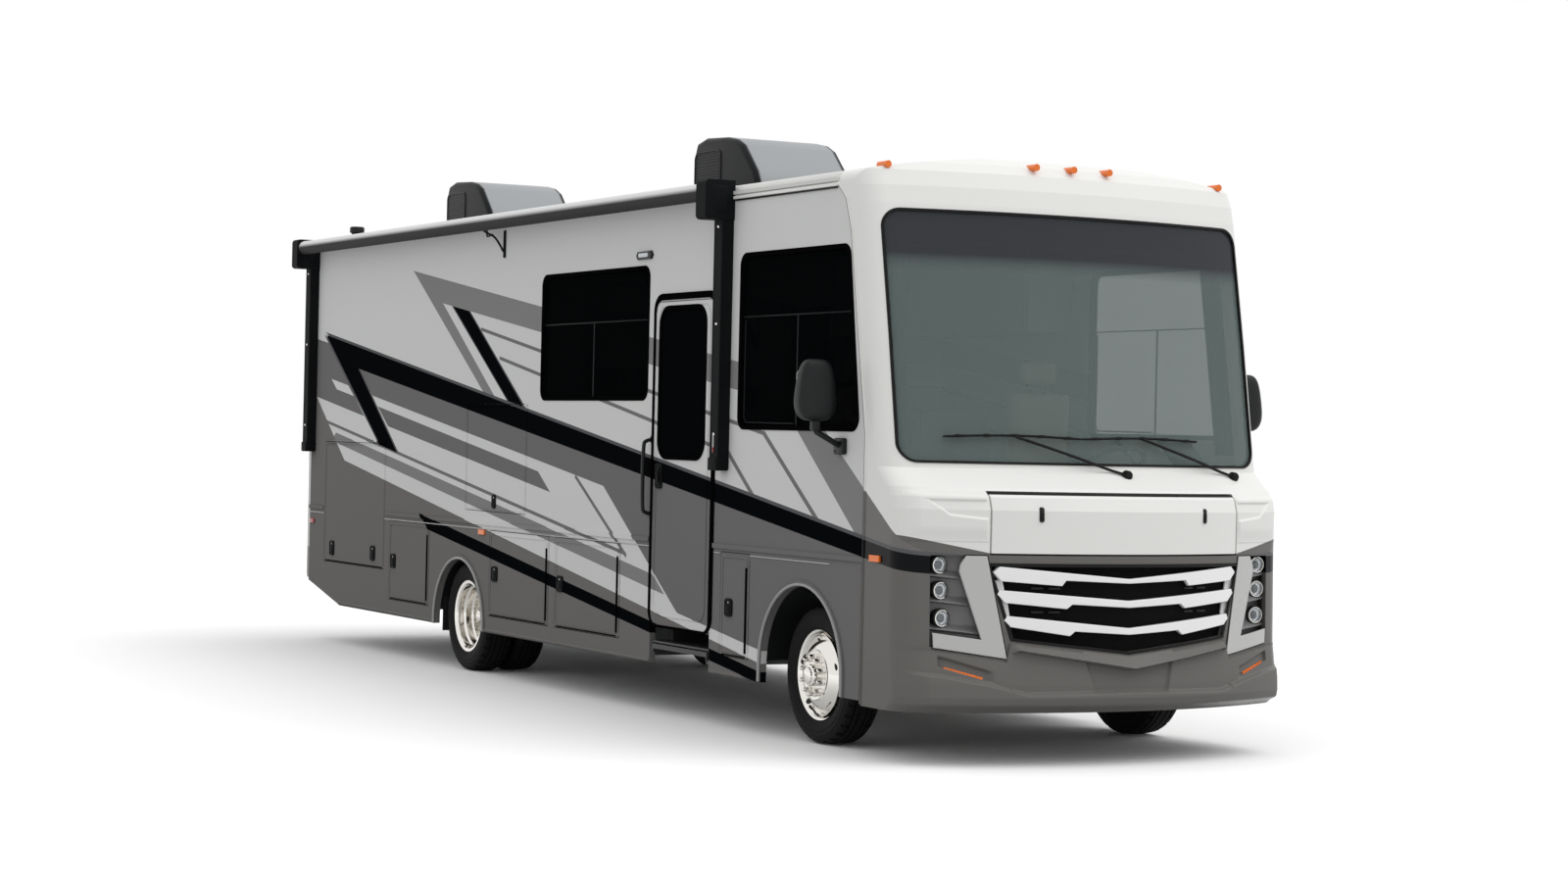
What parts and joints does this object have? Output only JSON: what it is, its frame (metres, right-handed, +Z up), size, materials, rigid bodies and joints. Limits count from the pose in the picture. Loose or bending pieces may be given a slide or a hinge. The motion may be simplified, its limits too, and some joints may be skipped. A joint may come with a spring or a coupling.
{
  "type": "motorhome",
  "caption": "Flat-nosed motorhome on a truck chassis: box body with a moulded front, doors, luggage bays, slide-out room, twin rear wheels and a rolled awning.",
  "frame": {"origin": "on the ground, at the middle of the whole length and width", "axes": "+X forward, +Y to the driver's side (left), +Z up"},
  "size_m": [10.26, 3.205, 3.82],
  "materials": {
    "body_pale": "satin gelcoat",
    "body_white": "gloss gelcoat",
    "body_grey": "gloss paint",
    "sheet_metal": "galvanised sheet",
    "chassis_black": "satin black paint",
    "cast": "rough",
    "tyre": "matte",
    "polished": "polished",
    "glass_dark": "dark tint",
    "glass_clear": "light tint",
    "black_plastic": "textured",
    "rubber": "matte",
    "lens_clear": "clear lens",
    "lens_red": "lens",
    "lens_amber": "lens",
    "wood_floor": "sealed plywood",
    "trim_grey": "soft touch",
    "leather": "upholstery",
    "grille_bright": "bright",
    "step_plastic": "moulded",
    "fabric": "rolled canvas"
  },
  "bodies": {
    "coach": {"roof": "body_white", "rear_wall": "body_pale", "wall_right": "body_pale", "wall_left": "body_pale", "floor": "wood_floor", "step_well": "step_plastic", "skirt_right": "body_grey", "skirt_left": "body_grey", "front_cap": "body_white", "windscreen": "glass_clear", "windscreen_seal": "rubber", "grille": "grille_bright", "headlamps": "lens_clear", "side_glass": "glass_dark", "window_frames": "black_plastic", "storage_bays": "sheet_metal", "chassis_frame": "chassis_black", "engine_block": "cast", "front_axle": "chassis_black", "rear_axle": "cast", "drive_line": "cast", "fuel_tank": "black_plastic", "wheel_wells": "black_plastic", "cab_trim": "trim_grey", "cab_seats": "leather", "steering_wheel": "black_plastic", "awning_arms": "black_plastic", "awning_roll": "fabric", "air_conditioners": "black_plastic", "mirrors": "black_plastic", "wipers": "black_plastic", "hand_rails": "polished", "tail_lamps": "lens_red", "marker_lamps": "lens_amber"},
    "hood": {"hood": "body_pale"},
    "entry_door": {"entry_door": "body_pale", "entry_door_glass": "glass_dark"},
    "garage_door_right": {"garage_door_right": "body_pale"},
    "garage_door_left": {"garage_door_left": "body_pale"},
    "screen_hatch": {"screen_hatch": "body_pale"},
    "slide_room": {"slide_room": "body_pale", "slide_window": "glass_dark"},
    "entry_step": {"entry_step": "step_plastic"},
    "knuckle_left": {"knuckle_left": "cast"},
    "knuckle_right": {"knuckle_right": "cast"},
    "bay_door_rear": {"bay_door_rear": "body_grey"},
    "bay_door_middle": {"bay_door_middle": "body_grey"},
    "bay_door_front": {"bay_door_front": "body_grey"},
    "bay_door_cab": {"bay_door_cab": "body_grey"},
    "bay_door_left_rear": {"bay_door_left_rear": "body_grey"},
    "bay_door_left_front": {"bay_door_left_front": "body_grey"},
    "wheel_front_left": {"tyre_front_left": "tyre", "rim_front_left": "polished"},
    "wheels_rear_left": {"tyres_rear_left": "tyre", "rims_rear_left": "polished"},
    "wheel_front_right": {"tyre_front_right": "tyre", "rim_front_right": "polished"},
    "wheels_rear_right": {"tyres_rear_right": "tyre", "rims_rear_right": "polished"}
  },
  "joints": [
    {"name": "steer_left", "type": "hinge", "parent": "coach", "child": "knuckle_left", "pos_m": [3.65, 0.907, 0.4], "axis": [0, 0, 1], "range_deg": [-35, 35]},
    {"name": "spin_front_left", "type": "hinge", "parent": "knuckle_left", "child": "wheel_front_left", "pos_m": [3.65, 1.057, 0.4], "axis": [0, 1, 0], "continuous": true},
    {"name": "spin_rear_left", "type": "hinge", "parent": "coach", "child": "wheels_rear_left", "pos_m": [-1.633, 1.11, 0.4], "axis": [0, 1, 0], "continuous": true},
    {"name": "steer_right", "type": "hinge", "parent": "coach", "child": "knuckle_right", "pos_m": [3.65, -0.907, 0.4], "axis": [0, 0, 1], "range_deg": [-35, 35]},
    {"name": "spin_front_right", "type": "hinge", "parent": "knuckle_right", "child": "wheel_front_right", "pos_m": [3.65, -1.057, 0.4], "axis": [0, 1, 0], "continuous": true},
    {"name": "spin_rear_right", "type": "hinge", "parent": "coach", "child": "wheels_rear_right", "pos_m": [-1.633, -1.11, 0.4], "axis": [0, 1, 0], "continuous": true},
    {"name": "hood_hinge", "type": "hinge", "parent": "coach", "child": "hood", "pos_m": [4.878, 0, 1.516], "axis": [0, -1, 0], "range_deg": [0, 80]},
    {"name": "entry_door_hinge", "type": "hinge", "parent": "coach", "child": "entry_door", "pos_m": [2.46, -1.2825, 1.5], "axis": [0, 0, 1], "range_deg": [0, 90]},
    {"name": "garage_door_right_hinge", "type": "hinge", "parent": "coach", "child": "garage_door_right", "pos_m": [-3.932, -1.2825, 1.64], "axis": [-1, 0, 0], "range_deg": [0, 90]},
    {"name": "garage_door_left_hinge", "type": "hinge", "parent": "coach", "child": "garage_door_left", "pos_m": [-3.932, 1.2825, 1.64], "axis": [1, 0, 0], "range_deg": [0, 90]},
    {"name": "screen_hatch_hinge", "type": "hinge", "parent": "coach", "child": "screen_hatch", "pos_m": [-0.99, -1.2825, 1.95], "axis": [-1, 0, 0], "range_deg": [0, 90]},
    {"name": "bay_door_rear_hinge", "type": "hinge", "parent": "coach", "child": "bay_door_rear", "pos_m": [-2.265, -1.2825, 0.75], "axis": [0, 0, 1], "range_deg": [0, 90]},
    {"name": "bay_door_middle_hinge", "type": "hinge", "parent": "coach", "child": "bay_door_middle", "pos_m": [-0.008, -1.2825, 0.75], "axis": [0, 0, 1], "range_deg": [0, 90]},
    {"name": "bay_door_front_hinge", "type": "hinge", "parent": "coach", "child": "bay_door_front", "pos_m": [1.153, -1.2825, 0.75], "axis": [0, 0, 1], "range_deg": [0, 90]},
    {"name": "bay_door_cab_hinge", "type": "hinge", "parent": "coach", "child": "bay_door_cab", "pos_m": [2.985, -1.2825, 0.75], "axis": [0, 0, 1], "range_deg": [0, 90]},
    {"name": "bay_door_left_rear_hinge", "type": "hinge", "parent": "coach", "child": "bay_door_left_rear", "pos_m": [-0.008, 1.2825, 0.75], "axis": [0, 0, -1], "range_deg": [0, 90]},
    {"name": "bay_door_left_front_hinge", "type": "hinge", "parent": "coach", "child": "bay_door_left_front", "pos_m": [1.153, 1.2825, 0.75], "axis": [0, 0, -1], "range_deg": [0, 90]},
    {"name": "slide_room_slide", "type": "slide", "parent": "coach", "child": "slide_room", "axis": [0, 1, 0], "range_m": [0, 0.7]},
    {"name": "entry_step_slide", "type": "slide", "parent": "coach", "child": "entry_step", "axis": [0, -1, 0], "range_m": [0, 0.28]}
  ],
  "couplings": [
    {"joint": "steer_right", "follows": "steer_left", "ratio": 1}
  ]
}
